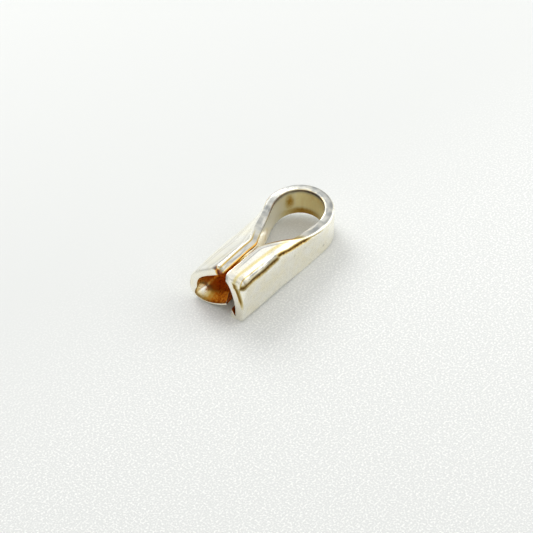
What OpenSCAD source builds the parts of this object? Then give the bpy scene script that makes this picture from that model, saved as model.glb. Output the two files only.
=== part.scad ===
// A folded cord end cap for jewellery, lying on its side. One strip of silver sheet is bent in half:
// the narrow middle makes the eye, and the two wide ends make troughs that face each other and take the cord.
// +X runs from the open end to the eye, +Z is up, and the origin is at the middle of the box's base.

/* [Sheet] */
// Thickness of the sheet
sheet_t = 0.55; // [0.5:0.05:0.6]

/* [Size] */
// Length from the open end to the end of the eye
cap_l = 9.2; // [8.8:0.1:9.6]
// Width across the outside of the eye
cap_w = 3.9; // [3.8:0.1:4.2]
// How far the left leg's wall leans in at its open end
left_lean = 0.3; // [0.2:0.05:0.35]

/* [Eye] */
// Height of the strip's upper edge round the eye
eye_high = 1.83; // [1.7:0.01:1.95]
// How far the strip's lower edge rises at the end of the eye
eye_rise = 0.25; // [0.1:0.05:0.4]

/* [Cord channel] */
// Radius of the round channel in the left leg
cord_r = 0.7; // [0.66:0.01:0.74]
// Length of the round channel
cord_l = 3; // [2:0.1:3.2]
// Distance of the channel's middle line from the outside of the left leg
cord_in = 1.28; // [1.24:0.01:1.32]
// Height of the channel's middle line
cord_up = 1.22; // [1.18:0.01:1.26]

/* [Hidden] */

eye_r = cap_w / 2;
bend_x = cap_l - eye_r;
lean = atan(left_lean / bend_x);

// Each row is the outside of one section of a leg, a C whose flat middle is the wall.
// DIST runs from the open end. IN is measured from the wall towards the other leg, and UP from the base.
// A lip leaves the wall at the height WALL and ends at IN and UP, turned by TILT from the wall's own direction.
// ROUND is how far the curve keeps each end's direction, as a share of the lip's length.
DIST = 0;
TOP_IN = 1;
TOP_UP = 2;
TOP_TILT = 3;
TOP_WALL = 4;
TOP_ROUND = 5;
LOW_IN = 6;
LOW_UP = 7;
LOW_TILT = 8;
LOW_WALL = 9;
LOW_ROUND = 10;

left_rows = [
    [0.0, 1.95, 3.17, 40, 1.00, 0.34, 2.50, 0.62, 125, 0.90, 0.50],
    [0.8, 1.95, 3.17, 28, 1.02, 0.37, 2.50, 0.60, 125, 0.90, 0.50],
    [2.0, 1.97, 3.17, 20, 1.10, 0.37, 2.48, 0.56, 122, 0.90, 0.50],
    [2.7, 1.98, 3.13, 12, 1.10, 0.36, 2.40, 0.46, 118, 0.90, 0.50],
    [3.3, 1.69, 2.93, 5, 1.10, 0.36, 2.00, 0.26, 105, 0.88, 0.48],
    [4.1, 1.27, 2.55, 0, 1.05, 0.38, 1.46, 0.10, 80, 0.85, 0.45],
    [4.9, 0.89, 2.21, 0, 1.00, 0.40, 0.92, 0.05, 45, 0.80, 0.40],
    [5.7, 0.55, 2.01, 0, 1.00, 0.40, 0.48, 0.05, 15, 0.70, 0.40],
    [6.4, 0.24, 1.89, 0, 1.05, 0.40, 0.16, 0.10, 0, 0.70, 0.40],
    [6.9, 0.05, 1.84, 0, 1.15, 0.40, 0.04, 0.13, 0, 0.70, 0.40],
    [bend_x, 0.00, eye_high, 0, 1.20, 0.40, 0.00, 0.15, 0, 0.70, 0.40]
];

right_rows = [
    [0.0, 1.10, 2.79, 80, 0.60, 0.20, 0.80, 0.00, 90, 0.20, 0.25],
    [0.3, 1.07, 2.85, 80, 1.95, 0.48, 0.85, 0.00, 90, 0.20, 0.25],
    [1.0, 1.08, 2.87, 80, 2.00, 0.48, 0.85, 0.00, 90, 0.20, 0.25],
    [2.6, 1.08, 2.87, 80, 2.00, 0.48, 0.85, 0.00, 90, 0.20, 0.25],
    [3.0, 0.98, 2.84, 78, 1.98, 0.48, 0.80, 0.00, 90, 0.20, 0.25],
    [3.4, 0.82, 2.78, 68, 1.97, 0.44, 0.70, 0.00, 88, 0.20, 0.25],
    [3.8, 0.68, 2.67, 55, 1.92, 0.38, 0.50, 0.00, 86, 0.16, 0.25],
    [4.2, 0.52, 2.51, 40, 1.85, 0.33, 0.22, 0.00, 75, 0.12, 0.30],
    [4.6, 0.32, 2.35, 22, 1.78, 0.25, 0.05, 0.00, 25, 0.15, 0.25],
    [5.0, 0.15, 2.20, 8, 1.74, 0.20, 0.01, 0.00, 6, 0.20, 0.25],
    [5.5, 0.03, 2.05, 2, 1.70, 0.20, 0.00, 0.00, 0, 0.20, 0.25],
    [6.2, 0.00, 1.94, 0, 1.55, 0.30, 0.00, 0.00, 0, 0.30, 0.25],
    [bend_x, 0.00, eye_high, 0, 1.20, 0.35, 0.00, 0.02, 0, 0.40, 0.30]
];

// How many steps each leg, the eye's bend and each lip take
leg_steps = 26;
eye_steps = 18;
lip_steps = 10;

function mix(a, b, f) = a + (b - a) * f;

// A smooth curve through the rows, which gives the section at one distance from the open end
function row_index(rows, d, i = 0) =
    i >= len(rows) - 2 || d < rows[i + 1][DIST] ? i : row_index(rows, d, i + 1);
function slope(rows, i) =
    let(a = rows[max(i - 1, 0)], b = rows[min(i + 1, len(rows) - 1)])
    (b - a) / (b[DIST] - a[DIST]);
function row_at(rows, d) =
    let(
        i = row_index(rows, d),
        a = rows[i],
        b = rows[i + 1],
        span = b[DIST] - a[DIST],
        f = (d - a[DIST]) / span
    )
    a * (1 - 3 * f * f + 2 * f * f * f)
    + b * (3 * f * f - 2 * f * f * f)
    + slope(rows, i) * span * f * (1 - f) * (1 - f)
    - slope(rows, i + 1) * span * f * f * (1 - f);

// Points on a curve from the wall to a lip's end, with the direction and the share of its length kept at each end
function curve(from, from_dir, to, to_dir, share) =
    let(pull = share * norm(to - from), a = from + pull * from_dir, b = to - pull * to_dir)
    [for (i = [0:lip_steps])
        let(f = i / lip_steps, g = 1 - f)
        from * g * g * g + a * 3 * g * g * f + b * 3 * g * f * f + to * f * f * f];

// One lip: its outside from the wall to the edge, then its inside from the edge back to the wall. SIDE is 1 upwards.
function lip(side, wall, in, up, tilt, share) =
    let(
        start = [0, wall],
        start_dir = [0, side],
        end = [in, up],
        end_dir = [sin(tilt), side * cos(tilt)],
        under = sheet_t * [cos(tilt), -side * sin(tilt)],
        inside = curve(start + [sheet_t, 0], start_dir, end + under, end_dir, share)
    )
    concat(curve(start, start_dir, end, end_dir, share), [for (i = [lip_steps:-1:0]) inside[i]]);

// The closed outline of one section: the upper lip, then the lower lip the other way round
function outline(row) =
    let(low = lip(-1, row[LOW_WALL], row[LOW_IN], row[LOW_UP], row[LOW_TILT], row[LOW_ROUND]))
    concat(
        lip(1, row[TOP_WALL], row[TOP_IN], row[TOP_UP], row[TOP_TILT], row[TOP_ROUND]),
        [for (i = [len(low) - 1:-1:0]) low[i]]
    );

// Where a section stands: its wall's place in plan, the direction towards the other leg, and its row
left_places = [for (i = [0:leg_steps - 1])
    let(d = bend_x * i / leg_steps)
    [[d, eye_r - left_lean * (1 - d / bend_x)], [0, -1], row_at(left_rows, d)]];
eye_places = [for (i = [0:eye_steps])
    let(
        f = i / eye_steps,
        a = 90 - 180 * f,
        row = mix(left_rows[len(left_rows) - 1], right_rows[len(right_rows) - 1], f),
        raised = [for (k = [DIST:LOW_ROUND]) row[k] + (k == LOW_UP ? eye_rise * sin(180 * f) : 0)]
    )
    [[bend_x + eye_r * cos(a), eye_r * sin(a)], [-cos(a), -sin(a)], raised]];
right_places = [for (i = [leg_steps - 1:-1:0])
    let(d = bend_x * i / leg_steps)
    [[d, -eye_r], [0, 1], row_at(right_rows, d)]];

function ring(place) = [for (p = outline(place[2]))
    [place[0][0] + place[1][0] * p[0] - cap_l / 2, place[0][1] + place[1][1] * p[0], p[1]]];

module strip() {
    rings = [for (place = concat(left_places, eye_places, right_places)) ring(place)];
    n = len(rings[0]);
    half = n / 2;
    last = len(rings) - 1;
    sides = [for (r = [0:last - 1], i = [0:n - 1])
        [r * n + i, (r + 1) * n + i, (r + 1) * n + (i + 1) % n, r * n + (i + 1) % n]];
    // Each end is closed lip by lip, and between the lips across the wall
    pairs = [for (base = [0, half], i = [0:lip_steps - 1])
        [base + i, base + half - 1 - i, base + half - 2 - i, base + i + 1]];
    ends = [for (r = [0, last], quad = concat(pairs, [[n - 1, half, half - 1, 0]]))
        [for (k = [0:3]) r * n + quad[r == 0 ? 3 - k : k]]];
    polyhedron(points = [for (one = rings) each one], faces = concat(sides, ends), convexity = 8);
}

module folded_strip() {
    color("silver")
    difference() {
        strip();
        translate([-cap_l / 2, eye_r - left_lean - cord_in, cord_up])
        rotate([0, 90, lean])
        translate([0, 0, -1])
        cylinder(h = cord_l + 1, r = cord_r, $fn = 64);
    }
}

folded_strip();
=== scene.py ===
# %% [markdown]
# A silver cord end
#
# The real object is one strip of silver sheet, about half a millimetre thick. Its narrow middle is bent
# into an eye for a ring, and its two wide ends are curled into troughs that close round a cord.
# The construction model already says where everything is, so this script only loads it as a fixed frame.
# It then makes the same strip again with fine, soft edges, and gives it the finish of worn, tarnished
# silver.

# %% Load the frame
import bpy
import math
import numpy as np
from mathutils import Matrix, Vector


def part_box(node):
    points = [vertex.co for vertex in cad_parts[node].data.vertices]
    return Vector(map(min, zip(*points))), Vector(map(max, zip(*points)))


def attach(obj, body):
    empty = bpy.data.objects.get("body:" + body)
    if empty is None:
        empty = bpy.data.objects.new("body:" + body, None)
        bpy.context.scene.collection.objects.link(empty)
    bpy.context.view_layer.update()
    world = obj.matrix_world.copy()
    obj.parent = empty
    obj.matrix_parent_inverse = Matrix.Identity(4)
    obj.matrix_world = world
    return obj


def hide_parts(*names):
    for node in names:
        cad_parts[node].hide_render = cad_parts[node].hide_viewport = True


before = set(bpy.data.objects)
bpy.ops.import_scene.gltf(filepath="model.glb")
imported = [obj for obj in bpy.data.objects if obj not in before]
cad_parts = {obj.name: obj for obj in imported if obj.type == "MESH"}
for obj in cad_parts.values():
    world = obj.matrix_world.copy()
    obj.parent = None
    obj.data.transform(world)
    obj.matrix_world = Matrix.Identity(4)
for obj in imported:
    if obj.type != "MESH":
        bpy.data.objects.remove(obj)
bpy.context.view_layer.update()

MM = 0.001
low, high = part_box("folded_strip")
cap_l = (high.x - low.x) / MM
cap_w = (high.y - low.y) / MM
cap_h = (high.z - low.z) / MM
print(f"the construction model is {cap_l:.2f} mm long, {cap_w:.2f} mm wide and {cap_h:.2f} mm high")

# %% [markdown]
# The camera
#
# A small bright thing is photographed from some way off with a long lens, so that it shows little
# perspective. The camera could be placed by eye, but the angle is known here: it looks down by 42.5
# degrees, and it stands to the left of the open end. So its place is worked out from those two angles, a
# distance and a point to aim at. The lens follows from how large the object is in the picture: 18.8
# picture points for each millimetre.

# %% Camera
PICTURE_W = 533
SENSOR_MM = 36
NEAREST, FARTHEST = 0.1, 20  # what the lens can see, as shares of its distance
camera_azimuth = math.radians(-52)
camera_elevation = math.radians(42.5)
camera_distance = 150 * MM
points_per_mm = 18.8
aim = Vector((-0.715, -0.471, 0.369)) * MM

back = Vector((
    math.sin(camera_azimuth) * math.cos(camera_elevation),
    -math.cos(camera_azimuth) * math.cos(camera_elevation),
    math.sin(camera_elevation),
))
camera = bpy.data.objects.new("camera", bpy.data.cameras.new("camera"))
camera.data.sensor_width = SENSOR_MM
camera.data.lens = SENSOR_MM * points_per_mm * camera_distance / MM / PICTURE_W
camera.data.clip_start = camera_distance * NEAREST
camera.data.clip_end = camera_distance * FARTHEST
camera.location = aim + back * camera_distance
camera.rotation_mode = "QUATERNION"
camera.rotation_quaternion = (-back).to_track_quat("-Z", "Y")
bpy.context.scene.collection.objects.link(camera)
bpy.context.scene.camera = camera
print(f"the lens is {camera.data.lens:.0f} mm")

# %% [markdown]
# Three helpers
#
# Both the shape and the finishes are built as node trees in code. One helper adds a node, sets its options
# and fills its inputs in order with values or with the outputs of other nodes. So a Map Range node, which
# fades one thing into another, reads as: the value, from where, to where, and what it is at each of the
# two. Another turns the given sRGB hex colours into linear numbers, and the last empties the tree of a
# material or of the world.


# %% Helpers
MATH = "ShaderNodeMath"
VMATH = "ShaderNodeVectorMath"
MIX = "ShaderNodeMix"
MAP = "ShaderNodeMapRange"
NOISE = "ShaderNodeTexNoise"
SPLIT = "ShaderNodeSeparateXYZ"
JOIN = "ShaderNodeCombineXYZ"
SOFT = {"interpolation_type": "SMOOTHSTEP"}


def add(tree, kind, *values, named=None, **options):
    """Adds a node, fills its shown inputs in order and then by name, and returns its first shown output."""
    node = tree.nodes.new(kind)
    for name, value in options.items():
        setattr(node, name, value)
    shown = [socket for socket in node.inputs if socket.enabled]
    pairs = list(zip(shown, values)) + [(node.inputs[name], value) for name, value in (named or {}).items()]
    for socket, value in pairs:
        if isinstance(value, bpy.types.NodeSocket):
            tree.links.new(value, socket)
        elif value is not None:
            socket.default_value = value
    return next((socket for socket in node.outputs if socket.enabled), None)


def colour(code):
    """Turns an sRGB hex colour into linear red, green, blue and a full alpha, by the sRGB curve."""
    parts = [int(code[i:i + 2], 16) / 255 for i in (0, 2, 4)]
    return tuple(c / 12.92 if c <= 0.04045 else ((c + 0.055) / 1.055) ** 2.4 for c in parts) + (1.0,)


def empty_tree(owner):
    """The node tree of a material or a world, with nothing in it yet."""
    owner.use_nodes = True
    owner.node_tree.nodes.clear()
    return owner.node_tree


print(f"a grey that looks half bright, 808080, is only {colour('808080')[0]:.2f} in linear light")

# %% [markdown]
# The sections of the strip
#
# A maker curls each wide end over a former, and the curl opens out towards the eye. So each leg is
# described by a few sections, and each section is a flat wall with an upper lip and a lower lip. A lip is
# one smooth curve: it leaves the wall at a height, and ends at a place, turned by a tilt from the wall's
# own direction. Round is how far the curve keeps each end's direction, as a share of the lip's length, and
# crisp is how far it is drawn into its corner. A smooth curve through the rows gives the section anywhere
# between them. The sections could be drawn by hand, but rows of sizes are easy to measure and to correct.
# All sizes are in millimetres from the open end, from the wall or from the base, and angles in degrees.

# %% Rows of sections
sheet_t = 0.55
left_lean = 0.3
eye_rise = 0.25
eye_r = cap_w / 2
bend_x = cap_l - eye_r

COLUMNS = (
    "dist", "top_in", "top_up", "top_tilt", "top_wall", "top_round", "top_crisp",
    "low_in", "low_up", "low_tilt", "low_wall", "low_round",
)
left_rows = np.array([
    [0.0, 1.95, 3.17, 40, 1.00, 0.34, 0.0, 2.50, 0.62, 125, 0.90, 0.50],
    [0.8, 1.95, 3.17, 28, 1.02, 0.37, 0.0, 2.50, 0.60, 125, 0.90, 0.50],
    [2.0, 1.97, 3.17, 20, 1.10, 0.37, 0.0, 2.48, 0.56, 122, 0.90, 0.50],
    [2.7, 1.98, 3.13, 12, 1.10, 0.36, 0.0, 2.40, 0.46, 118, 0.90, 0.50],
    [3.3, 1.69, 2.93, 5, 1.10, 0.36, 0.0, 2.00, 0.26, 105, 0.88, 0.48],
    [4.1, 1.27, 2.55, 0, 1.05, 0.38, 0.0, 1.46, 0.10, 80, 0.85, 0.45],
    [4.9, 0.89, 2.21, 0, 1.00, 0.40, 0.0, 0.92, 0.05, 45, 0.80, 0.40],
    [5.7, 0.55, 2.01, 0, 1.00, 0.40, 0.0, 0.48, 0.05, 15, 0.70, 0.40],
    [6.4, 0.24, 1.89, 0, 1.05, 0.40, 0.0, 0.16, 0.10, 0, 0.70, 0.40],
    [6.9, 0.05, 1.84, 0, 1.15, 0.40, 0.0, 0.04, 0.13, 0, 0.70, 0.40],
    [bend_x, 0.00, 1.83, 0, 1.20, 0.40, 0.0, 0.00, 0.15, 0, 0.70, 0.40],
])
right_rows = np.array([
    [0.0, 1.10, 2.79, 80, 0.60, 0.20, 0.0, 0.80, 0.00, 90, 0.20, 0.25],
    [0.3, 1.12, 2.86, 80, 1.49, 0.46, 3.0, 0.85, 0.00, 90, 0.20, 0.25],
    [1.0, 1.13, 2.88, 80, 1.51, 0.46, 3.0, 0.85, 0.00, 90, 0.20, 0.25],
    [2.6, 1.13, 2.88, 80, 1.51, 0.46, 3.0, 0.85, 0.00, 90, 0.20, 0.25],
    [3.0, 1.02, 2.85, 78, 1.52, 0.50, 3.0, 0.80, 0.00, 90, 0.20, 0.25],
    [3.4, 0.86, 2.80, 73, 1.52, 0.52, 3.0, 0.70, 0.00, 88, 0.20, 0.25],
    [3.8, 0.71, 2.71, 66, 1.52, 0.52, 3.0, 0.50, 0.00, 86, 0.16, 0.25],
    [4.2, 0.56, 2.59, 59, 1.52, 0.50, 3.0, 0.22, 0.00, 75, 0.12, 0.30],
    [4.6, 0.40, 2.45, 50, 1.52, 0.48, 3.0, 0.05, 0.00, 25, 0.15, 0.25],
    [5.0, 0.25, 2.31, 38, 1.52, 0.44, 3.0, 0.01, 0.00, 6, 0.20, 0.25],
    [5.5, 0.09, 2.13, 18, 1.54, 0.36, 2.0, 0.00, 0.00, 0, 0.20, 0.25],
    [6.2, 0.00, 1.95, 2, 1.50, 0.30, 0.0, 0.00, 0.00, 0, 0.30, 0.25],
    [bend_x, 0.00, 1.83, 0, 1.20, 0.35, 0.0, 0.00, 0.02, 0, 0.40, 0.30],
])


def row_at(rows, dist):
    """The row at one distance from the open end, on a smooth curve through all the rows."""
    i = int(np.clip(np.searchsorted(rows[:, 0], dist, side="right") - 1, 0, len(rows) - 2))
    last = len(rows) - 1

    def slope(k):
        before, after = rows[max(k - 1, 0)], rows[min(k + 1, last)]
        return (after - before) / (after[0] - before[0])

    span = rows[i + 1][0] - rows[i][0]
    f = (dist - rows[i][0]) / span
    ease = f * f * (3 - 2 * f)
    return (rows[i] * (1 - ease) + rows[i + 1] * ease
            + slope(i) * span * f * (1 - f) ** 2 - slope(i + 1) * span * f * f * (1 - f))


print(f"{len(left_rows)} rows for the left leg and {len(right_rows)} for the right one")

# %% [markdown]
# The way round
#
# The strip is followed from the open end of the left leg, round the eye and back to the open end of the
# right leg, and how far one has come is called the run. The stops are closest together at the open ends,
# where the sheet's edge is worn round and needs a fine mesh. Round the eye, the strip's lower edge lifts
# off the table a little, and its upper edge, the rim, rises by 0.21 mm and tips by 5 degrees.

# %% Stops along the strip
LEG_STOPS = 110
EYE_STOPS = 70
END_CLOSENESS = 0.75
RIM_RISE = 0.21
RIM_TIP = 5
strip_l = 2 * bend_x + math.pi * eye_r


def leg_distances():
    """Distances from the open end to the start of the eye, closest together at the open end."""
    f = np.arange(LEG_STOPS) / LEG_STOPS
    return bend_x * f * (1 - END_CLOSENESS * (1 - f))


def stops():
    """Yields each stop: the wall's place, the way to the other leg, the way along, the row and the run."""
    up_leg = leg_distances()
    for d in up_leg:
        place = (d, eye_r - left_lean * (1 - d / bend_x))
        yield place, (0, -1), (1, 0), row_at(left_rows, d), d
    for f in np.linspace(0, 1, EYE_STOPS + 1):
        a = math.radians(90 - 180 * f)
        row = left_rows[-1] * (1 - f) + right_rows[-1] * f
        row[COLUMNS.index("low_up")] += eye_rise * math.sin(math.pi * f)
        row[COLUMNS.index("top_up")] += RIM_RISE * math.sin(math.pi * f)
        row[COLUMNS.index("top_tilt")] += RIM_TIP * math.sin(math.pi * f) ** 3
        place = (bend_x + eye_r * math.cos(a), eye_r * math.sin(a))
        run = bend_x + math.pi * eye_r * f
        yield place, (-math.cos(a), -math.sin(a)), (math.sin(a), -math.cos(a)), row, run
    for d in up_leg[::-1]:
        yield (d, -eye_r), (0, 1), (-1, 0), row_at(right_rows, d), strip_l - d


print(f"the strip is {strip_l:.1f} mm long, with {2 * LEG_STOPS + EYE_STOPS + 1} stops")

# %% [markdown]
# Worn and thinned edges
#
# Tumbling rounds the edges that the shot can reach, and leaves those that are tucked away. So the radius
# of the sheet's outer edge changes along the strip: it is wide on the rim of the eye and on the left lip,
# and crisp at the cut end of the right leg. The left trough's lower edge was pressed thin at its open end.
# One width for a Bevel modifier couldn't do that, so two small functions say it for each stop, in mm. The
# two distances from the strip's end are where a change begins and where it is complete.

# %% Edge radius and thinning
EDGE_R = 0.08
WORN_R, WORN_FROM_END = 0.2, (4.8, 6.3)
CRISP_R, CRISP_FROM_END = 0.02, (0.1, 0.6)
LEFT_LIP_R, LEFT_LIP_L = 0.15, 2.9
THINNED_L = 0.8
THINNED_SHARE = 0.75
THINNED_ALL_AT = 0.3


def edge_radius(lip, run):
    """The radius of the sheet's outer edge."""
    if lip == "top" and run < LEFT_LIP_L:
        return LEFT_LIP_R
    worn = np.interp(min(run, strip_l - run), WORN_FROM_END, (0, 1)) if lip == "top" else 0
    crisp = np.interp(strip_l - run, CRISP_FROM_END, (1, 0))
    return EDGE_R + (WORN_R - EDGE_R) * worn + (CRISP_R - EDGE_R) * crisp


def thinned(lip, run):
    """The share of its thickness that the left trough's lower edge has lost."""
    near_end = max(0, 1 - run / THINNED_L)
    return THINNED_SHARE * near_end ** 2 * (3 - 2 * near_end) if lip == "low" else 0


print(f"the rim's edge is worn to {edge_radius('top', strip_l / 2):.2f} mm")

# %% [markdown]
# Every stop written down
#
# The tool that closed the strip left a slanting facet on the right leg, a groove under it, and a crease
# that runs on from the groove towards the eye. Each follows its own line, so the lines are pairs of lists:
# places along X and, for each, a height in mm, or how far the facet's plane is held off. Then the upper and
# the lower lip of every stop are written down as points and directions in space.

# %% Values at every stop
FACET_OFF = (-4.6, -1.7, -1.3, 0.0), (0.0, 0.0, 0.25, 0.6)
GROOVE_UP = (-4.6, -4.2, -3.6, -3.0, -2.6, -2.1, -1.5), (2.17, 2.29, 2.30, 2.27, 2.26, 2.28, 2.33)
CREASE_UP = ((-1.7, -1.2, -0.6, 0.13, 0.5, 0.87, 1.2, 1.6, 2.3),
             (2.47, 2.42, 2.24, 2.09, 2.02, 1.94, 1.87, 1.77, 1.66))
UP = np.array([0.0, 0.0, 1.0])
lips = {}
for lip, side in (("top", 1), ("low", -1)):
    for place, across, along, row, run in stops():
        at = dict(zip(COLUMNS, row))
        toward, ahead = np.array([*across, 0.0]), np.array([*along, 0.0])
        wall = np.array([place[0] - cap_l / 2, place[1], 0.0])
        tilt = math.radians(at[lip + "_tilt"])
        values = {
            "start": (wall + UP * at[lip + "_wall"]) * MM,
            "end": (wall + toward * at[lip + "_in"] + UP * at[lip + "_up"]) * MM,
            "start_way": UP * side,
            "end_way": toward * math.sin(tilt) + UP * side * math.cos(tilt),
            "turn": ahead * side,
            "share": at[lip + "_round"],
            "crisp": at["top_crisp"] if lip == "top" else 0,
            "thinned": thinned(lip, run),
            "outer_radius": edge_radius(lip, run) * MM,
            "run": run * MM,
            "facet_off": (np.interp(wall[0], *FACET_OFF) if run > strip_l / 2 else FACET_OFF[1][-1]) * MM,
            "groove_up": np.interp(wall[0], *GROOVE_UP) * MM,
            "crease_up": np.interp(wall[0], *CREASE_UP) * MM,
        }
        for name, value in values.items():
            lips.setdefault(name, []).append(value)
rings = len(lips["run"]) // 2
print(f"{len(lips)} values at each of {rings} stops, for two lips")

# %% [markdown]
# The stops as points that nodes can read
#
# Geometry Nodes read lists from the attributes of a mesh. So the stops become a mesh of loose points,
# first all the upper lips and then all the lower ones, and each value becomes a named attribute on them.


# %% Points with attributes
def points_mesh(name, columns):
    """A mesh of loose points with one named attribute for each column."""
    mesh = bpy.data.meshes.new(name)
    mesh.from_pydata(columns["start"], [], [])
    for column, values in columns.items():
        values = np.array(values, np.float32)
        vector = values.ndim == 2
        attribute = mesh.attributes.new(column, "FLOAT_VECTOR" if vector else "FLOAT", "POINT")
        attribute.data.foreach_set("vector" if vector else "value", values.ravel())
    return mesh


strip = bpy.data.objects.new("silver_strip", points_mesh("silver_strip", lips))
bpy.context.scene.collection.objects.link(strip)
print(f"{len(strip.data.vertices)} points with {len(lips)} attributes")

# %% [markdown]
# Folding the blank
#
# The real strip starts as a flat blank, and the tree starts the same way: with a flat box of many faces.
# One side of the box runs along the strip, one across it and one through the sheet's thickness. Each point
# of the box looks up its stop and its lip, and is moved to its place on the lip's curve. The strip could
# also be swept along a curve, but its section changes all the way, and a blank that is folded keeps a wall
# of even thickness.

# %% The tree and its inputs
fold = bpy.data.node_groups.new("fold_blank", "GeometryNodeTree")
INPUTS = {
    "Lips": "NodeSocketGeometry",
    "Rings": "NodeSocketInt",
    "Rows": "NodeSocketInt",
    "Layers": "NodeSocketInt",
    "Sheet thickness": "NodeSocketFloat",
    "Edge radius": "NodeSocketFloat",
    "Groove depth": "NodeSocketFloat",
    "Groove width": "NodeSocketFloat",
    "Hand waves": "NodeSocketFloat",
    "Wave length": "NodeSocketFloat",
    "Silver": "NodeSocketMaterial",
}
for name, kind in INPUTS.items():
    fold.interface.new_socket(name, in_out="INPUT", socket_type=kind)
fold.interface.new_socket("Strip", in_out="OUTPUT", socket_type="NodeSocketGeometry")
given = fold.nodes.new("NodeGroupInput").outputs
print(f"the tree has {len(INPUTS)} inputs")

# %% [markdown]
# Two shares tell where a point of the blank is. Out is 0 where the lip leaves the wall and 1 at its edge,
# and deep is 0 on the outside of the sheet and 1 on the inside. Both are bent a little, so that the faces
# are smallest near the edges. From them and the ring's number, every point finds its row of values.

# %% The flat blank
EDGE_CLOSENESS = 0.8
FACE_CLOSENESS = 0.7
blank = add(fold, "GeometryNodeMeshCube", (1, 1, 1), given["Rings"], given["Rows"], given["Layers"])
flat = add(fold, SPLIT, add(fold, "GeometryNodeInputPosition")).node.outputs
from_left = add(fold, MATH, flat["X"], 0.5, operation="ADD")
last_ring = add(fold, MATH, given["Rings"], 1, operation="SUBTRACT")
ring = add(fold, MATH, add(fold, MATH, from_left, last_ring, operation="MULTIPLY"), operation="ROUND")
is_low = add(fold, MATH, flat["Y"], 0, operation="LESS_THAN")
lip_index = add(fold, MATH, is_low, given["Rings"], ring, operation="MULTIPLY_ADD")

from_middle = add(fold, MATH, flat["Y"], operation="ABSOLUTE")
first_row = add(fold, MATH, 0.5, add(fold, MATH, given["Rows"], 1, operation="SUBTRACT"), operation="DIVIDE")
even_out = add(fold, MAP, from_middle, first_row, 0.5, 0.0, 1.0)
slowing = add(fold, MATH, even_out, -EDGE_CLOSENESS, 1 + EDGE_CLOSENESS, operation="MULTIPLY_ADD")
out = add(fold, MATH, even_out, slowing, operation="MULTIPLY")

even_deep = add(fold, MATH, flat["Z"], 0.5, operation="ADD")
wave = add(fold, MATH, add(fold, MATH, even_deep, 2 * math.pi, operation="MULTIPLY"), operation="SINE")
deep = add(fold, MATH, wave, -FACE_CLOSENESS / (2 * math.pi), even_deep, operation="MULTIPLY_ADD")

at = {}
for name, values in lips.items():
    kind = "FLOAT_VECTOR" if np.ndim(values) == 2 else "FLOAT"
    column = add(fold, "GeometryNodeInputNamedAttribute", name, data_type=kind)
    at[name] = add(fold, "GeometryNodeSampleIndex", given["Lips"], column, lip_index, data_type=kind)
print(f"the blank and its values take {len(fold.nodes)} nodes")

# %% [markdown]
# A lip is a cubic curve, and the sheet's inside runs beside its outside. The curve could be written as one
# long formula, but taking points between points, until one is left, does the same with one kind of node.
# The last pair gives the curve's direction. Where a row asks for a crisp turn, the point is drawn towards
# the middle of the curve's frame.

# %% The lip's curve
thinning_way = add(fold, MAP, out, 0.0, THINNED_ALL_AT, 0.0, 1.0, **SOFT)
thinning = add(fold, MATH, thinning_way, at["thinned"], operation="MULTIPLY")
left_over = add(fold, MATH, 1, thinning, operation="SUBTRACT")
thickness = add(fold, MATH, left_over, given["Sheet thickness"], operation="MULTIPLY")
inset = add(fold, MATH, deep, thickness, operation="MULTIPLY")
points = {}
for name in ("start", "end"):
    inside_way = add(fold, VMATH, at["turn"], at[name + "_way"], operation="CROSS_PRODUCT")
    points[name] = add(fold, VMATH, inside_way, inset, at[name], operation="MULTIPLY_ADD")
chord = add(fold, VMATH, points["start"], points["end"], operation="DISTANCE").node.outputs["Value"]
pull = add(fold, MATH, chord, at["share"], operation="MULTIPLY")
push = add(fold, MATH, pull, -1, operation="MULTIPLY")
chain = [
    points["start"],
    add(fold, VMATH, at["start_way"], pull, points["start"], operation="MULTIPLY_ADD"),
    add(fold, VMATH, at["end_way"], push, points["end"], operation="MULTIPLY_ADD"),
    points["end"],
]
while len(chain) > 1:
    if len(chain) == 2:
        tangent = add(fold, VMATH, chain[1], chain[0], operation="SUBTRACT")
    chain = [add(fold, MIX, out, a, b, data_type="VECTOR") for a, b in zip(chain, chain[1:])]
    if len(chain) == 3:
        middle = chain[1]
rest_out = add(fold, MATH, 1, out, operation="SUBTRACT")
middle_share = add(fold, MATH, add(fold, MATH, out, rest_out, operation="MULTIPLY"), 3, operation="MULTIPLY")
weight = add(fold, MATH, middle_share, at["crisp"], operation="MULTIPLY")
toward_corner = add(fold, MATH, weight, add(fold, MATH, weight, 1, operation="ADD"), operation="DIVIDE")
folded = add(fold, MIX, toward_corner, chain[0], middle, data_type="VECTOR")
across_sheet = add(fold, VMATH, at["turn"], tangent, operation="CROSS_PRODUCT")
inward = add(fold, VMATH, across_sheet, operation="NORMALIZE")
print(f"with the lip's curve the tree has {len(fold.nodes)} nodes")

# %% [markdown]
# A cut and tumbled edge is never sharp. A Bevel modifier could round it, but here the mesh is already finer
# than the bevel. So a point that lies nearer to an edge than the edge's radius is drawn in, as on a box
# with rounded edges: from the lip's edge, from the strip's ends, which both face -X, and from the faces.

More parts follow.
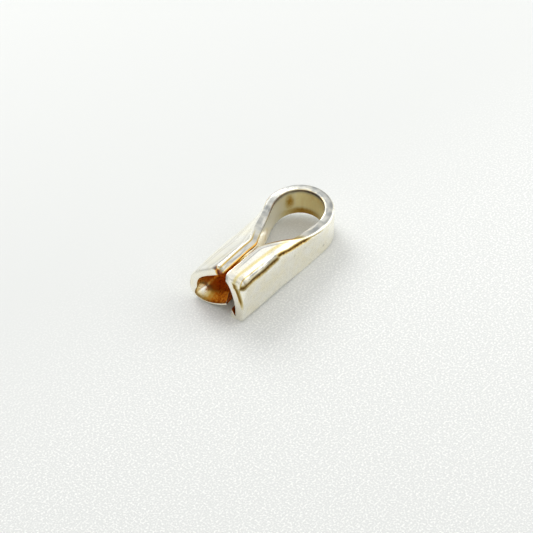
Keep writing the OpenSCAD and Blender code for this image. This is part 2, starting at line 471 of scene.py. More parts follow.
# %% Soft edges
is_outer = add(fold, MATH, deep, 0.5, operation="LESS_THAN")
radius = add(fold, MIX, is_outer, given["Edge radius"], at["outer_radius"], data_type="FLOAT")
strip_end = add(fold, MATH, strip_l * MM, at["run"], operation="SUBTRACT")
other_face = add(fold, MATH, 1, deep, operation="SUBTRACT")
to_face = add(fold, MATH, deep, other_face, operation="MINIMUM")
to_lip_edge = add(fold, VMATH, folded, points["end"], operation="DISTANCE").node.outputs["Value"]
gaps = (
    to_lip_edge,
    add(fold, MATH, at["run"], strip_end, operation="MINIMUM"),
    add(fold, MATH, to_face, thickness, operation="MULTIPLY"),
)
within = []
for gap in gaps:
    overlap = add(fold, MATH, radius, gap, operation="SUBTRACT")
    within.append(add(fold, MATH, overlap, 0, operation="MAXIMUM"))
depth = add(fold, VMATH, add(fold, JOIN, *within), operation="LENGTH").node.outputs["Value"]
draw_in = add(fold, MATH, add(fold, MATH, radius, depth, operation="DIVIDE"), 1, operation="SUBTRACT")
face_side = add(fold, MATH, add(fold, MATH, deep, 0.5, operation="SUBTRACT"), operation="SIGN")
outward = add(fold, VMATH, inward, face_side, operation="MULTIPLY")
OUT_OF_ENDS = (-1, 0, 0)
rounded = folded
for way, amount in zip((at["end_way"], OUT_OF_ENDS, outward), within):
    move = add(fold, MATH, amount, draw_in, operation="MULTIPLY")
    rounded = add(fold, VMATH, way, move, rounded, operation="MULTIPLY_ADD")
print(f"with soft edges the tree has {len(fold.nodes)} nodes")

# %% [markdown]
# The facet along the top of the right leg is flat, as a tool leaves it. A Boolean with a block could cut
# it, but that would spoil the even faces. So each point that stands above a slanting plane is pushed back
# to it, most at the sheet's outside, and a small blend keeps the facet's borders soft.

# %% The facet
FACET_FOOT = (0.0, -cap_w / 2 * MM, 2.30 * MM)
FACET_WAY = (0.0, -0.79, 0.613)
FACET_BLEND = 0.03
facet_foot = add(fold, VMATH, rounded, FACET_FOOT, operation="SUBTRACT")
over_facet = add(fold, VMATH, facet_foot, FACET_WAY, operation="DOT_PRODUCT").node.outputs["Value"]
over_facet = add(fold, MATH, over_facet, at["facet_off"], operation="SUBTRACT")
cut = add(fold, MATH, over_facet, 0.0, FACET_BLEND * MM, operation="SMOOTH_MAX")
cut = add(fold, MATH, cut, other_face, operation="MULTIPLY")
on_right = add(fold, MATH, at["run"], strip_l / 2 * MM, operation="GREATER_THAN")
cut = add(fold, MATH, add(fold, MATH, cut, on_right, operation="MULTIPLY"), -1, operation="MULTIPLY")
faceted = add(fold, VMATH, FACET_WAY, cut, rounded, operation="MULTIPLY_ADD")
print(f"with the facet the tree has {len(fold.nodes)} nodes")

# %% [markdown]
# The groove under the facet, the crease that goes on from it, and a shallow valley beside the left lip are
# all dips in the outside of the sheet. Each is a soft bell across its own line, as deep as its share of the
# groove's depth, and it fades in and out between two runs in mm. The deepest of the three counts, so they
# run into one another without a step.

# %% Groove, crease and valley
GROOVE_IN = strip_l - bend_x + 3.9, strip_l - bend_x + 4.4
CREASE_IN, CREASE_OUT, CREASE_SHARE = (13.7, 14.6), (17.0, 17.4), 0.7
VALLEY_OFF, VALLEY_HALF, VALLEY_L, VALLEY_SHARE = 0.32, 0.25, 4.4, 0.6
up_now = add(fold, SPLIT, faceted).node.outputs["Z"]
over_groove = add(fold, MATH, up_now, at["groove_up"], operation="SUBTRACT")
over_crease = add(fold, MATH, up_now, at["crease_up"], operation="SUBTRACT")
run_mm = add(fold, MATH, at["run"], MM, operation="DIVIDE")

off_groove = add(fold, MATH, over_groove, operation="ABSOLUTE")
groove = add(fold, MAP, off_groove, 0.0, given["Groove width"], 1.0, 0.0, **SOFT)
groove = add(fold, MATH, groove, add(fold, MAP, run_mm, *GROOVE_IN, 0.0, 1.0), operation="MULTIPLY")

off_crease = add(fold, MATH, over_crease, operation="ABSOLUTE")
crease = add(fold, MAP, off_crease, 0.0, given["Groove width"], CREASE_SHARE, 0.0, **SOFT)
crease = add(fold, MATH, crease, add(fold, MAP, run_mm, *CREASE_IN, 0.0, 1.0), operation="MULTIPLY")
crease = add(fold, MATH, crease, add(fold, MAP, run_mm, *CREASE_OUT, 1.0, 0.0), operation="MULTIPLY")

off_valley = add(fold, MATH, to_lip_edge, VALLEY_OFF * MM, operation="SUBTRACT")
off_valley = add(fold, MATH, off_valley, operation="ABSOLUTE")
valley = add(fold, MAP, off_valley, 0.0, VALLEY_HALF * MM, VALLEY_SHARE, 0.0, **SOFT)
is_top = add(fold, MATH, 1, is_low, operation="SUBTRACT")
for only in (add(fold, MATH, run_mm, VALLEY_L, operation="LESS_THAN"), is_top):
    valley = add(fold, MATH, valley, only, operation="MULTIPLY")

dip = add(fold, MATH, add(fold, MATH, groove, valley, operation="MAXIMUM"), crease, operation="MAXIMUM")
dip = add(fold, MATH, dip, other_face, operation="MULTIPLY")
dent = add(fold, MATH, dip, given["Groove depth"], operation="MULTIPLY")
grooved = add(fold, VMATH, inward, dent, faceted, operation="MULTIPLY_ADD")
print(f"with groove, crease and valley the tree has {len(fold.nodes)} nodes")

# %% [markdown]
# Last, a slow noise moves everything a little, because the strip was bent by hand. The finish needs to know
# where on the sheet a point was before it was folded. So each point keeps two notes: its run in mm, its
# share across the strip from -1 to 1 and its depth, and then its distances from the lip's edge, the groove
# and the crease in mm. The tree ends in Realize Instances and Set Material.

# %% Hand waves and notes for the finish
waves_per_metre = add(fold, MATH, 1, given["Wave length"], operation="DIVIDE")
noise = add(fold, NOISE, rounded, waves_per_metre, 1.0)
wobble = add(fold, VMATH, noise.node.outputs["Color"], (0.5, 0.5, 0.5), operation="SUBTRACT")
uneven = add(fold, VMATH, wobble, given["Hand waves"], grooved, operation="MULTIPLY_ADD")

side = add(fold, MATH, is_low, -2, 1, operation="MULTIPLY_ADD")
sheet = add(fold, JOIN, run_mm, add(fold, MATH, out, side, operation="MULTIPLY"), deep)
marks = add(fold, JOIN, to_lip_edge, over_groove, over_crease)
marks = add(fold, VMATH, marks, (1 / MM,) * 3, operation="MULTIPLY")
noted = blank
for name, note in (("sheet", sheet), ("marks", marks)):
    noted = add(fold, "GeometryNodeStoreNamedAttribute", noted, None, name, note, data_type="FLOAT_VECTOR")
bent = add(fold, "GeometryNodeSetPosition", noted, None, uneven)
smooth = add(fold, "GeometryNodeSetShadeSmooth", bent)
real = add(fold, "GeometryNodeRealizeInstances", smooth)
finished = add(fold, "GeometryNodeSetMaterial", real, None, given["Silver"])
add(fold, "NodeGroupOutput", finished)
print(f"the whole folding tree has {len(fold.nodes)} nodes")

# %% [markdown]
# Sterling silver, tumbled and tarnished
#
# Silver is the whitest of metals, and tumbling with steel shot gives it a bright, soft surface with fine
# dents. Where fingers and cloths don't reach, sulphur in the air grows a thin film on it that is straw
# yellow at first, then gold, amber, brown and nearly black. So one number for the film's thickness gives
# the colour and most of the roughness: 0.2 is straw yellow, 0.4 gold, 0.6 amber, 0.7 brown and 1 nearly
# black. Two more numbers, from 0 to 1, are for the fire stain of sterling silver, which is grey, and for
# grime, which is the dark rest of old polish. The stains could be painted by hand, but rules that say where
# each one lies stay sharp at any size, and they go on round the sides that one seldom sees.
# The three numbers also carry painted shade, highlights and a reflection, in the places the code names.

# %% Silver: where a point is
silver = bpy.data.materials.new("sterling_silver_tumbled_and_tarnished")
tree = empty_tree(silver)
object_place = add(tree, "ShaderNodeTexCoord").node.outputs["Object"]
place = add(tree, VMATH, object_place, (1 / MM,) * 3, operation="MULTIPLY")
x, y, z = add(tree, SPLIT, place).node.outputs
sheet = add(tree, "ShaderNodeAttribute", attribute_name="sheet").node.outputs["Vector"]
run, across, deep = add(tree, SPLIT, sheet).node.outputs
marks = add(tree, "ShaderNodeAttribute", attribute_name="marks").node.outputs["Vector"]
from_edge, over_groove, over_crease = add(tree, SPLIT, marks).node.outputs
print(f"a point of silver knows its place from {len(tree.nodes)} nodes")

# %% [markdown]
# Tarnish grows in clouds, in small blotches and in streaks, and fire stain in patches. Noise textures draw
# them all. Each takes its place, how often it repeats in a millimetre, how many finer layers it has and how
# strong they are. Clouds of tarnish are about a millimetre wide, and streaks and patches a half or a third
# of that. The blotches follow the metal's grain, which is nearer 0.05 mm and wouldn't show, so they are
# drawn three times as coarse.

# %% Silver: patterns
CLOUD, BLOTCH, STREAK, PATCH = 0.9, 0.16, 0.35, 0.5
DOWN_WALL, LONG_PATCH = (1 / STREAK, 1.5, 0.5), (1.1, 2.0, 4.0)
clouds = add(tree, NOISE, place, 1 / CLOUD, 3.0, 0.6)
blotches = add(tree, NOISE, place, 1 / BLOTCH, 3.0, 0.6)
streaks = add(tree, NOISE, add(tree, VMATH, sheet, DOWN_WALL, operation="MULTIPLY"), 1.0, 4.0, 0.65)
scales = add(tree, NOISE, place, 1 / PATCH, 1.5, 0.5)
long_scales = add(tree, NOISE, add(tree, VMATH, sheet, LONG_PATCH, operation="MULTIPLY"), 1.0, 2.0)

blotchy = add(tree, MAP, blotches, 0.3, 0.7, 0.75, 1.15)
patchy = add(tree, MAP, blotches, 0.3, 0.6, 0.75, 1.0)
dotted = add(tree, MAP, blotches, 0.56, 0.68, 0.0, 1.0)
mottled = add(tree, MAP, blotches, 0.45, 0.7, 0.0, 1.0)
ragged = add(tree, MAP, blotches, 0.2, 0.8, -0.02, 0.02)
streaky = add(tree, MAP, streaks, 0.3, 0.7, 0.8, 1.15)
scaly = add(tree, MAP, scales, 0.35, 0.65, 0.65, 1.1)
print(f"with its patterns the silver has {len(tree.nodes)} nodes")

# %% [markdown]
# A mask is 1 where something is and 0 where it isn't. Multiplied, masks mean that all of them must hold, and
# a mark covers a thinner one below it, so the larger number wins. Two helpers say just that. Most marks are
# stains, and some are painted shade, painted highlights or a painted reflection. The masks that follow them
# name the parts of the strip, by the run and the distances in mm and by the two shares.


# %% Silver: masks
def band(value, middle, half):
    """1 in the middle of a soft band of values, and 0 from half its width away."""
    away = add(tree, MATH, add(tree, MATH, value, middle, operation="SUBTRACT"), operation="ABSOLUTE")
    return add(tree, MAP, away, 0.0, half, 1.0, 0.0, **SOFT)


def stain(layer, *masks, strength):
    """The layer so far, or a new mark where all its masks meet, whichever is thicker; a mark is a stain,
    painted shade or a painted reflection.
    """
    for mask in masks:
        strength = add(tree, MATH, mask, strength, operation="MULTIPLY")
    return add(tree, MATH, layer, strength, operation="MAXIMUM")


inside = add(tree, MAP, deep, 0.9, 1.0, 0.0, 1.0, **SOFT)
outside = add(tree, MAP, deep, 0.05, 0.45, 1.0, 0.0, **SOFT)
left_leg = add(tree, MAP, run, 2.6, 4.2, 1.0, 0.0, **SOFT)
right_leg = add(tree, MAP, run, 15.5, 16.5, 0.0, 1.0, **SOFT)
round_eye = band(run, strip_l / 2, 4.6)
top_lip = add(tree, MAP, across, 0.0, 0.05, 0.0, 1.0)
on_edge = add(tree, MAP, from_edge, 0.0, 0.07, 1.0, 0.0)
on_side = add(tree, MAP, y, -1.6, -1.7, 0.0, 1.0)
on_side_wide = add(tree, MAP, y, -1.4, -1.5, 0.0, 1.0)
groove_there = add(tree, MAP, x, -1.6, -1.3, 1.0, 0.0)
print(f"with its masks the silver has {len(tree.nodes)} nodes")

# %% [markdown]
# Tarnish in the troughs, a painted highlight and a painted shade line
#
# No cloth reaches into the troughs, so their film is amber and blotchy, and a little thicker deeper in. A
# spot inside the left trough's open end is left without film, as a painted highlight. At the mouth itself,
# grime sits on the inner corner of the sheet's edge, and a thin dark line on the outer corner is painted
# shade. Everywhere else there are faint straw yellow clouds.

# %% Silver: troughs
# Painted highlight: round this spot the film is left off, so the trough looks lit there.
HIGHLIGHT_SPOT = (-4.25, 1.0, 0.5)
to_highlight_spot = add(tree, VMATH, place, HIGHLIGHT_SPOT, operation="DISTANCE").node.outputs["Value"]
off_highlight_spot = add(tree, MAP, to_highlight_spot, 0.1, 0.6, 0.0, 1.0, **SOFT)
deeper_in = add(tree, MAP, to_highlight_spot, 0.4, 1.0, 0.7, 1.1)
film_and_shade = add(tree, MAP, clouds, 0.4, 0.75, 0.0, 0.08)
film_and_shade = stain(film_and_shade, inside, left_leg, blotchy, off_highlight_spot, deeper_in, strength=0.58)
film_and_shade = stain(film_and_shade, inside, right_leg, blotchy, strength=0.7)

near_mouth = add(tree, MAP, run, 0.06, 0.14, 1.0, 0.0)
inner_corner = add(tree, MAP, deep, 0.93, 1.0, 0.0, 1.0)
grime_and_shade = stain(0.0, near_mouth, inner_corner, patchy, strength=0.5)
# Painted shade: a thin dark line along the outer corner of the mouth's edge, under the edge.
grime_and_shade = stain(grime_and_shade, near_mouth, band(deep, 0.12, 0.12), patchy, strength=0.25)
print(f"with its troughs the silver has {len(tree.nodes)} nodes")

# %% [markdown]
# Tarnish in the eye
#
# A cloth can be pulled through the eye, so the film on its wall is thin and straw yellow, in streaks from
# top to bottom. It darkens to gold low down, and in one spot on the left of the far wall.

# %% Silver: the eye's wall
film_and_shade = stain(film_and_shade, inside, round_eye, streaky, strength=0.24)
grime_and_shade = stain(grime_and_shade, inside, round_eye, streaky, strength=0.06)
low_down = add(tree, MAP, z, 0.95, 0.6, 0.0, 1.0)
low_band = inside, band(run, 9.6, 3.0), low_down, streaky
dark_spot = inside, band(run, 8.4, 0.7), band(z, 1.2, 0.95), patchy
film_and_shade = stain(film_and_shade, *low_band, strength=0.46)
film_and_shade = stain(film_and_shade, *dark_spot, strength=0.46)
grime_and_shade = stain(grime_and_shade, *low_band, strength=0.42)
grime_and_shade = stain(grime_and_shade, *dark_spot, strength=0.38)
print(f"with the eye's wall the silver has {len(tree.nodes)} nodes")

# %% [markdown]
# Where the eye's wall meets the rim, a thin brown line is left just inside the corner, and another one runs
# along the outer corner on the left of the eye. At the eye's front, where the lips begin, the edge itself is
# brown, and on the left the same brown goes on along the inner corner.

# %% Silver: the rim of the eye
under_edge = inside, round_eye, top_lip, band(from_edge, 0.05, 0.12)
film_and_shade = stain(film_and_shade, on_edge, round_eye, top_lip, band(deep, 1.0, 0.26), streaky, strength=0.5)
film_and_shade = stain(film_and_shade, *under_edge, strength=0.52)
grime_and_shade = stain(grime_and_shade, on_edge, round_eye, top_lip, band(deep, 1.0, 0.16), patchy, strength=0.8)
grime_and_shade = stain(grime_and_shade, *under_edge, patchy, strength=0.8)

rim_line = on_edge, top_lip, band(run, 7.2, 1.9), band(deep, 0.06, 0.1)
film_and_shade = stain(film_and_shade, *rim_line, strength=0.5)
grime_and_shade = stain(grime_and_shade, *rim_line, patchy, strength=0.35)

brink = band(run, 16.6, 2.0), top_lip, add(tree, MAP, from_edge, 0.06, 0.12, 1.0, 0.0)
film_and_shade = stain(film_and_shade, *brink, strength=0.62)
grime_and_shade = stain(grime_and_shade, *brink, patchy, strength=0.55)
left_brink = top_lip, band(run, 6.9, 2.6), streaky
for mask in (add(tree, MAP, deep, 0.86, 0.96, 0.0, 1.0), inside):
    beside_edge = mask, add(tree, MAP, from_edge, 0.06, 0.14, 1.0, 0.0)
    film_and_shade = stain(film_and_shade, *left_brink, *beside_edge, strength=0.6)
    grime_and_shade = stain(grime_and_shade, *left_brink, *beside_edge, strength=0.5)
print(f"with the rim the silver has {len(tree.nodes)} nodes")

# %% [markdown]
# The left leg
#
# The lip's cut edge has a gold line along its outer corner and a brown one at the gap. Two dark spots show
# where its end was snipped. Faint dark lines along the outside are painted shade.

# %% Silver: the left leg
gold_line = band(deep, 0.33, 0.14)
at_gap = add(tree, MAP, deep, 0.8, 0.88, 0.0, 1.0)
film_and_shade = stain(film_and_shade, on_edge, left_leg, top_lip, gold_line, strength=0.42)
film_and_shade = stain(film_and_shade, on_edge, left_leg, top_lip, at_gap, strength=0.42)
grime_and_shade = stain(grime_and_shade, on_edge, left_leg, top_lip, gold_line, patchy, strength=0.3)

SNIPS = ((-4.55, -0.1, 2.87), 0.2), ((-4.6, -0.42, 2.68), 0.34)
for spot, size in SNIPS:
    spot_gap = add(tree, VMATH, place, spot, operation="DISTANCE").node.outputs["Value"]
    in_spot = add(tree, MAP, spot_gap, size, size / 2, 0.0, 1.0)
    film_and_shade = stain(film_and_shade, in_spot, blotchy, strength=0.85)

# Painted shade: faint dark lines along the left leg's outside.
SHADE_LINES = (0.375, 0.07, 0.26), (0.455, 0.035, 0.26), (0.69, 0.09, 0.2)
left_flank = outside, top_lip, add(tree, MAP, run, 5.2, 6.2, 1.0, 0.0)
for middle, half, strength in SHADE_LINES:
    grime_and_shade = stain(grime_and_shade, *left_flank, band(across, middle, half), patchy, strength=strength)
print(f"with the left leg the silver has {len(tree.nodes)} nodes")

# %% [markdown]
# The right leg
#
# A straw yellow streak lies along the top of the lip, and a gold one along the facet's upper corner. The
# groove and the crease are brown at their borders and nearly black at the bottom, partly from dirt and
# partly as painted shade.

# %% Silver: groove and crease
STREAK_SLOPE, STREAK_Y = 0.045, 1.575
streak_middle = add(tree, MATH, x, STREAK_SLOPE, STREAK_Y, operation="MULTIPLY_ADD")
streak_gap = add(tree, MATH, y, streak_middle, operation="ADD")
film_and_shade = stain(film_and_shade, outside, right_leg, top_lip, band(streak_gap, 0.03, 0.15), strength=0.22)
toward_mouth = add(tree, MAP, x, -3.4, -2.4, 1.0, 0.3)
facet_corner = toward_mouth, groove_there, right_leg, top_lip, patchy, band(y, -1.67, 0.05)
film_and_shade = stain(film_and_shade, outside, *facet_corner, strength=0.4)

# Painted shade, with some dirt: the groove is brown at its borders and nearly black at the bottom.
groove_gap = add(tree, MATH, over_groove, ragged, operation="ADD")
in_groove = outside, on_side, groove_there
film_and_shade = stain(film_and_shade, *in_groove, band(groove_gap, 0.01, 0.22), strength=0.44)
grime_and_shade = stain(grime_and_shade, *in_groove, patchy, band(groove_gap, 0.0, 0.24), strength=0.9)
on_facet = outside, on_side_wide, groove_there, dotted, band(over_groove, 0.2, 0.25)
grime_and_shade = stain(grime_and_shade, *on_facet, strength=0.5)

# The same painted shade, with some dirt, in the crease.
crease_gap = add(tree, MATH, over_crease, ragged, operation="ADD")
in_crease = outside, on_side_wide, add(tree, MAP, x, -1.7, -1.4, 0.0, 1.0)
crease_ends = add(tree, MAP, x, 1.9, 2.5, 1.0, 0.0)
deep_crease = add(tree, MAP, x, 0.9, 1.5, 1.0, 0.0)
film_and_shade = stain(film_and_shade, *in_crease, deep_crease, band(crease_gap, 0.0, 0.18), strength=0.5)
film_and_shade = stain(film_and_shade, *in_crease, crease_ends, band(crease_gap, 0.0, 0.06), strength=0.36)
grime_and_shade = stain(grime_and_shade, *in_crease, deep_crease, patchy, band(crease_gap, 0.0, 0.15), strength=1.0)
grime_and_shade = stain(grime_and_shade, *in_crease, crease_ends, patchy, band(crease_gap, 0.0, 0.06), strength=0.5)
print(f"with groove and crease the silver has {len(tree.nodes)} nodes")

# %% [markdown]
# A dark line runs down the outer corner of the right leg's cut end. Handling has left faint mottling on the
# leg's broad side, and a few pits, which are round but ragged at their borders.

# %% Silver: corner line, mottling and pits
at_end = add(tree, MAP, x, -4.5, -4.58, 0.0, 1.0)
corner_low = add(tree, MAP, z, 0.8, 1.4, 0.0, 1.0)
corner_high = add(tree, MAP, z, 2.5, 2.35, 0.0, 1.0)
film_and_shade = stain(film_and_shade, at_end, right_leg, band(deep, 0.04, 0.14), corner_low, corner_high, strength=0.5)
grime_and_shade = stain(grime_and_shade, at_end, right_leg, band(deep, 0.02, 0.12), corner_low, corner_high, strength=0.75)
past_left = add(tree, MAP, run, 11.0, 12.5, 0.0, 1.0)
grime_and_shade = stain(grime_and_shade, outside, past_left, mottled, strength=0.09)

PITS = (((-0.17, -1.95, 1.56), 0.07), ((2.35, -1.95, 0.55), 0.1),
        ((0.7, -1.95, 1.55), 0.05), ((-0.4, -1.95, 0.1), 0.09))
for spot, size in PITS:
    spot_gap = add(tree, VMATH, place, spot, operation="DISTANCE").node.outputs["Value"]
    spot_gap = add(tree, MATH, ragged, 2.0, spot_gap, operation="MULTIPLY_ADD")
    grime_and_shade = stain(grime_and_shade, add(tree, MAP, spot_gap, size, size / 3, 0.0, 1.0), patchy, strength=0.5)
print(f"with pits and mottling the silver has {len(tree.nodes)} nodes")

# %% [markdown]
# Fire stain, painted highlights and painted shade on the rim
#
# Copper in the alloy leaves a bluish grey skin when the metal is heated. Polish takes it off the faces, and
# leaves it on cut edges. So the rim is grey and scaly, with long bright places along its inner corner that
# are painted highlights, and the left lip is grey between its gold and its brown line. Two wide patches on
# the rim are greyer than the rest, and the one on the right is painted shade.

# %% Silver: fire stain on cut edges, with painted highlights
near_edge = add(tree, MAP, from_edge, 0.05, 0.3, 1.0, 0.0, **SOFT)
past_corner = add(tree, MAP, deep, 0.0, 0.15, 0.0, 1.0)
near_edge = add(tree, MATH, near_edge, past_corner, operation="MULTIPLY")
off_front = add(tree, MAP, band(run, 15.6, 1.2), 0.0, 1.0, 1.0, 0.3)
off_left = add(tree, MAP, run, 3.0, 6.0, 0.5, 1.0)
# Painted highlights: long places along the rim's inner corner are kept free of grey.
highlight_pattern = add(tree, MAP, long_scales, 0.49, 0.62, 0.0, 0.75)
painted_highlights = add(tree, MATH, band(deep, 0.78, 0.3), highlight_pattern, operation="MULTIPLY")
off_painted_highlights = add(tree, MATH, 1.0, painted_highlights, operation="SUBTRACT")
fire_and_shade = stain(0.0, near_edge, scaly, top_lip, off_front, off_left, off_painted_highlights, strength=0.9)
long_patches = add(tree, MAP, long_scales, 0.4, 0.6, 0.35, 1.0)
fire_and_shade = stain(fire_and_shade, near_edge, left_leg, top_lip, long_patches, strength=0.85)

at_corner = add(tree, MAP, deep, 0.35, 0.42, 1.0, 0.0)
lines_there = add(tree, MATH, at_corner, at_gap, operation="MAXIMUM")
lines_there = add(tree, MATH, lines_there, left_leg, operation="MULTIPLY")
off_lines = add(tree, MATH, 1.0, lines_there, operation="SUBTRACT")
fire_and_shade = add(tree, MATH, fire_and_shade, off_lines, operation="MULTIPLY")
print(f"with fire stain on its edges the silver has {len(tree.nodes)} nodes")

# %% [markdown]
# A grey line along the outside of the left lip, below its bright corner, and a fainter grey over most of
# that side are painted shade. Fire stain dulls a line beside the right lip's edge. The tool's facet is grey
# in fine
# lines along its length: the lines are file marks on bare metal, and the grey is partly stain and partly a
# painted reflection. A real file leaves lines some 0.05 mm apart, too fine to show, so they are drawn
# at twice that.

# %% Silver: fire stain, painted shade and a painted reflection on the faces
FACET_LINES = (1.2, 10.0, 10.0)
left_shade_side = outside, left_leg, top_lip
# Painted shade: a grey line and a fainter grey along the left leg's outside.
fire_and_shade = stain(fire_and_shade, *left_shade_side, band(across, 0.84, 0.1), strength=0.8)
fire_and_shade = stain(fire_and_shade, *left_shade_side, band(across, 0.6, 0.4), strength=0.3)
right_line = right_leg, outside, top_lip, add(tree, MAP, x, -4.2, -3.3, 0.0, 1.0)
fire_and_shade = stain(fire_and_shade, *right_line, add(tree, MAP, from_edge, 0.15, 0.27, 1.0, 0.0), strength=0.4)
fire_and_shade = stain(fire_and_shade, *right_line, band(from_edge, 0.24, 0.06), strength=0.75)

facet_lines = add(tree, NOISE, add(tree, VMATH, place, FACET_LINES, operation="MULTIPLY"), 1.0, 2.0)
lined = add(tree, MAP, facet_lines, 0.35, 0.65, 0.05, 1.0)
off_end = add(tree, MAP, x, -4.4, -4.1, 0.0, 1.0)
facet_face = band(over_groove, 0.2, 0.24), on_side_wide, groove_there, off_end
# The facet's grey is partly stain and partly a painted reflection; the lines are file marks.
facet_grey = stain(0.0, *facet_face, lined, strength=1.0)
fire_and_shade = add(tree, MATH, fire_and_shade, facet_grey, operation="MAXIMUM")

# The patch on the right is painted shade.
GREY_PATCHES = ((1.63, 1.46, 1.91), 0.6), ((3.92, -1.31, 1.83), 0.8)
for spot, size in GREY_PATCHES:
    spot_gap = add(tree, VMATH, place, spot, operation="DISTANCE").node.outputs["Value"]
    fire_and_shade = stain(fire_and_shade, add(tree, MAP, spot_gap, size, 0.0, 0.0, 1.3), near_edge, strength=1.0)
print(f"with all its fire stain the silver has {len(tree.nodes)} nodes")

# %% [markdown]
# The three numbers now give the colour and the roughness. The film picks a colour from a ramp, fire stain
# mixes grey over it and grime mixes a dark brown over both. In the places named above, the same colours
# paint shade, highlights and a reflection. Each makes the silver a little rougher, from the soft gloss of
# tumbled metal.

# %% Silver: colour and roughness
# These colours also paint the shade, the highlights and the reflection that the masks above place.
FILM_AND_SHADE_COLOURS = {0.0: "fffdf3", 0.2: "f6e8b0", 0.4: "e0b65a", 0.58: "d8841a", 0.7: "a8500c", 0.84: "5a2a0a",
                1.0: "2c1407"}
FIRE_AND_SHADE_COLOUR, GRIME_AND_SHADE_COLOUR = "999b98", "33220e"
CLEAN_ROUGH, THICK_ROUGH = 0.24, 0.4
TROUGH_ROUGHER, FIRE_AND_SHADE_ROUGHER, GRIME_AND_SHADE_ROUGHER = 0.12, 0.15, 0.2
tint = add(tree, "ShaderNodeValToRGB", film_and_shade)
ramp = tint.node.color_ramp.elements
for stop, code in FILM_AND_SHADE_COLOURS.items():
    element = ramp.new(stop) if 0 < stop < 1 else ramp[round(stop) * (len(ramp) - 1)]
    element.color = colour(code)
tint = add(tree, MIX, fire_and_shade, tint, colour(FIRE_AND_SHADE_COLOUR), data_type="RGBA")
tint = add(tree, MIX, grime_and_shade, tint, colour(GRIME_AND_SHADE_COLOUR), data_type="RGBA")

roughness = add(tree, MAP, film_and_shade, 0.1, 0.7, CLEAN_ROUGH, THICK_ROUGH)
tarnished = add(tree, MATH, inside, off_highlight_spot, operation="MULTIPLY")
for layer, rougher in ((tarnished, TROUGH_ROUGHER), (fire_and_shade, FIRE_AND_SHADE_ROUGHER), (grime_and_shade, GRIME_AND_SHADE_ROUGHER)):
    roughness = add(tree, MATH, layer, rougher, roughness, operation="MULTIPLY_ADD")
print(f"the film has {len(ramp)} colours, and clean silver a roughness of {CLEAN_ROUGH}")

# %% [markdown]
# Relief on the silver
#
# Steel shot of a millimetre leaves dents half as wide. Polishing leaves a grain of about 0.01 mm, far too
# fine to show, so it is drawn at 0.1 mm, and the scratches along the sheet are as coarse. The facet and the
# trough are rougher, because no shot reached them. None of it is deeper than two hundredths of a
# millimetre, so bump is enough, and the mesh needn't carry it.

# %% Silver: relief
DENT, GRAIN = 0.45, 0.1
SCRATCHES = (0.8, 30.0, 6.0)
dents = add(tree, NOISE, place, 1 / DENT, 1.0)
grain = add(tree, NOISE, place, 1 / GRAIN, 2.0)
scratches = add(tree, NOISE, add(tree, VMATH, sheet, SCRATCHES, operation="MULTIPLY"), 1.0, 2.0)
facet_grain = add(tree, MATH, blotches, facet_grey, operation="MULTIPLY")
in_trough = add(tree, MATH, inside, left_leg, operation="MULTIPLY")
trough_grain = add(tree, MATH, blotches, in_trough, operation="MULTIPLY")
RELIEF = (0.008, dents), (0.002, scratches), (0.003, grain), (0.02, facet_grain), (0.016, trough_grain)
normal = None
for height, pattern in RELIEF:
    normal = add(tree, "ShaderNodeBump", named={
        "Strength": 1.0, "Distance": height * MM, "Height": pattern, "Normal": normal})
surface = add(tree, "ShaderNodeBsdfPrincipled", named={
    "Base Color": tint, "Metallic": 1.0, "Roughness": roughness, "Normal": normal})
add(tree, "ShaderNodeOutputMaterial", surface)
print(f"the whole silver has {len(tree.nodes)} nodes")

# %% [markdown]
# Making the strip
#
# The tree runs as a modifier on the mesh of points. Its inputs are set before it is first evaluated, and
# then the result becomes a plain mesh. The groove and the hand waves are hundredths of a millimetre deep.

# %% Run the tree
sizes = {
    "Rings": rings,
    "Rows": 110,
    "Layers": 12,
    "Sheet thickness": sheet_t * MM,
    "Edge radius": EDGE_R * MM,
    "Groove depth": 0.05 * MM,
    "Groove width": 0.12 * MM,
    "Hand waves": 0.03 * MM,
    "Wave length": 1.3 * MM,
    "Silver": silver,
}
modifier = strip.modifiers.new("fold_blank", "NODES")
modifier.node_group = fold
for socket in fold.interface.items_tree:
    if socket.in_out == "INPUT" and socket.name in sizes:
        modifier[socket.identifier] = sizes[socket.name]
graph = bpy.context.evaluated_depsgraph_get()
made = bpy.data.meshes.new_from_object(strip.evaluated_get(graph))
strip.modifiers.remove(modifier)
strip.data = made
made.name = "silver_strip"
print(f"the strip has {len(made.polygons)} faces")

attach(strip, "root")
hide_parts("folded_strip")

# %% [markdown]
# The card underneath
#
# The strip lies on a sheet of white, uncoated card. A plain square is enough for it, wide enough that its
# border is never seen, and it belongs to the stage and not to the part.

# %% White card
CARD_HALF = 600 * MM
card = bpy.data.objects.new("white_card", bpy.data.meshes.new("white_card"))
corners = [(a * CARD_HALF, b * CARD_HALF, 0) for a, b in ((-1, -1), (1, -1), (1, 1), (-1, 1))]
card.data.from_pydata(corners, [], [(0, 1, 2, 3)])
bpy.context.scene.collection.objects.link(card)
print(f"the card is {2 * CARD_HALF:.1f} m wide")

# %% [markdown]
# The fibres of uncoated card make a fine tooth, about 0.1 mm wide, which shows as grain in front, where the
# lens has it sharp, and melts into an even white behind. The card could be given real relief, but a pattern
# in its colour and its bump is enough for something so flat.

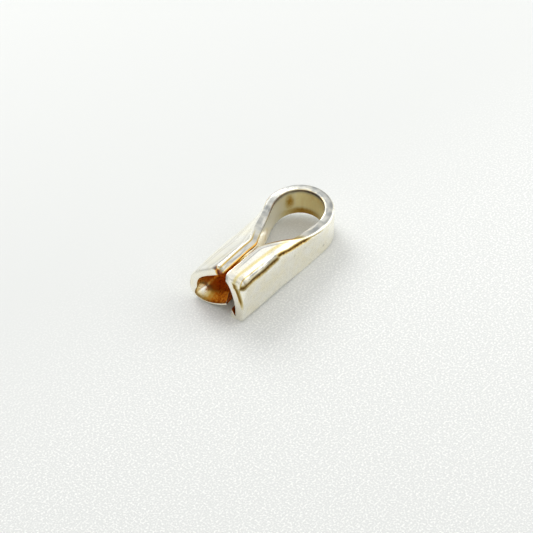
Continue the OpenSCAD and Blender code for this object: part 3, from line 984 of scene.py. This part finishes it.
# %% The card's tooth
TOOTH, TOOTH_DEPTH = 0.11, 0.008
CARD_DARK, CARD_LIGHT, CARD_ROUGH = "dcdedc", "f4f5f2", 0.75
FRONT_WAY, SHARP_REACH = (-0.27, -0.96, 0.0), 7 * MM
paper = bpy.data.materials.new("white_card_uncoated")
tree = empty_tree(paper)
card_place = add(tree, "ShaderNodeTexCoord").node.outputs["Object"]
tooth = add(tree, NOISE, card_place, 1 / (TOOTH * MM), 1.0, 0.5)
toward_front = add(tree, VMATH, card_place, FRONT_WAY, operation="DOT_PRODUCT").node.outputs["Value"]
sharp = add(tree, MAP, toward_front, -SHARP_REACH, SHARP_REACH, 0.0, 1.0, **SOFT)
speck = add(tree, MAP, tooth, 0.48, 0.68, 0.0, 1.0)
speckled = add(tree, MATH, speck, sharp, operation="MULTIPLY")
card_colour = add(tree, MIX, speckled, colour(CARD_DARK), colour(CARD_LIGHT), data_type="RGBA")
toothed = add(tree, "ShaderNodeBump", named={
    "Strength": 1.0, "Distance": TOOTH_DEPTH * MM, "Height": speckled})
surface = add(tree, "ShaderNodeBsdfPrincipled", named={
    "Base Color": card_colour, "Roughness": CARD_ROUGH, "Normal": toothed})
add(tree, "ShaderNodeOutputMaterial", surface)
card.data.materials.append(paper)
print(f"the card's finish has {len(tree.nodes)} nodes")

# %% [markdown]
# The light
#
# Metal shows what is round it, so the room matters as much as the lamps. A tent of white cloth stands all
# round: it is brightest high up behind the eye, bright again behind the camera, and darker near the table.
# That darker part is what draws the edges and the creases in grey. The room could be a photograph of a
# studio, but two soft gradients are plain, and easy to turn until each face shows what it should.

# %% The tent
TENT_COLOURS = {0.0: "99958b", 0.3: "b3afa6", 0.45: "c8c6c0", 0.62: "dedede", 0.8: "ececed", 1.0: "f5f5f6"}
BRIGHT_WAY, DARK_FROM = Vector((0.42, 0.46, 0.78)).normalized(), -0.3
FILL_WAY, FILL_FROM, FILL_SHARE = Vector((-0.6, -0.62, 0.5)).normalized(), 0.7, 0.9
TENT_STRENGTH = 1.03
world = bpy.data.worlds.new("white_tent")
tree = empty_tree(world)
way = add(tree, "ShaderNodeTexCoord")
toward_bright = add(tree, VMATH, way, BRIGHT_WAY, operation="DOT_PRODUCT").node.outputs["Value"]
cloth = add(tree, "ShaderNodeValToRGB", add(tree, MAP, toward_bright, DARK_FROM, 1.0, 0.0, 1.0))
ramp = cloth.node.color_ramp.elements
for stop, code in TENT_COLOURS.items():
    element = ramp.new(stop) if 0 < stop < 1 else ramp[round(stop) * (len(ramp) - 1)]
    element.color = colour(code)
toward_fill = add(tree, VMATH, way, FILL_WAY, operation="DOT_PRODUCT").node.outputs["Value"]
fill = add(tree, MAP, toward_fill, FILL_FROM, 1.0, 0.0, FILL_SHARE, **SOFT)
cloth = add(tree, MIX, fill, cloth, colour("ffffff"), data_type="RGBA")
add(tree, "ShaderNodeOutputWorld", add(tree, "ShaderNodeBackground", cloth, TENT_STRENGTH))
bpy.context.scene.world = world
print(f"the tent has {len(ramp)} shades")

# %% [markdown]
# Three round lamps shine through the cloth. A wide one, from behind on the left, gives the soft shadow. A
# weak one above the eye softens it, and a low one on the right lights up the facet. Each has the way to it,
# its distance, its width and its power in watts, and it faces the middle of the scene.

# %% Lamps
LAMPS = {
    "window_lamp": ((0.3, 0.84, 0.68), 150 * MM, 90 * MM, 0.115),
    "soft_lamp": ((0.58, -0.08, 0.81), 150 * MM, 100 * MM, 0.003),
    "bounce_lamp": ((0.75, -0.6, 0.4), 85 * MM, 90 * MM, 0.024),
}
for name, (way, distance, size, watts) in LAMPS.items():
    lamp = bpy.data.objects.new(name, bpy.data.lights.new(name, "AREA"))
    lamp.data.shape = "DISK"
    lamp.data.size = size
    lamp.data.energy = watts
    lamp.location = Vector(way).normalized() * distance
    lamp.rotation_mode = "QUATERNION"
    lamp.rotation_quaternion = Vector(way).to_track_quat("Z", "Y")
    bpy.context.scene.collection.objects.link(lamp)
bpy.context.scene.view_settings.view_transform = "Standard"
print(f"{len(LAMPS)} lamps, {sum(lamp[-1] for lamp in LAMPS.values()):.3f} watts together")
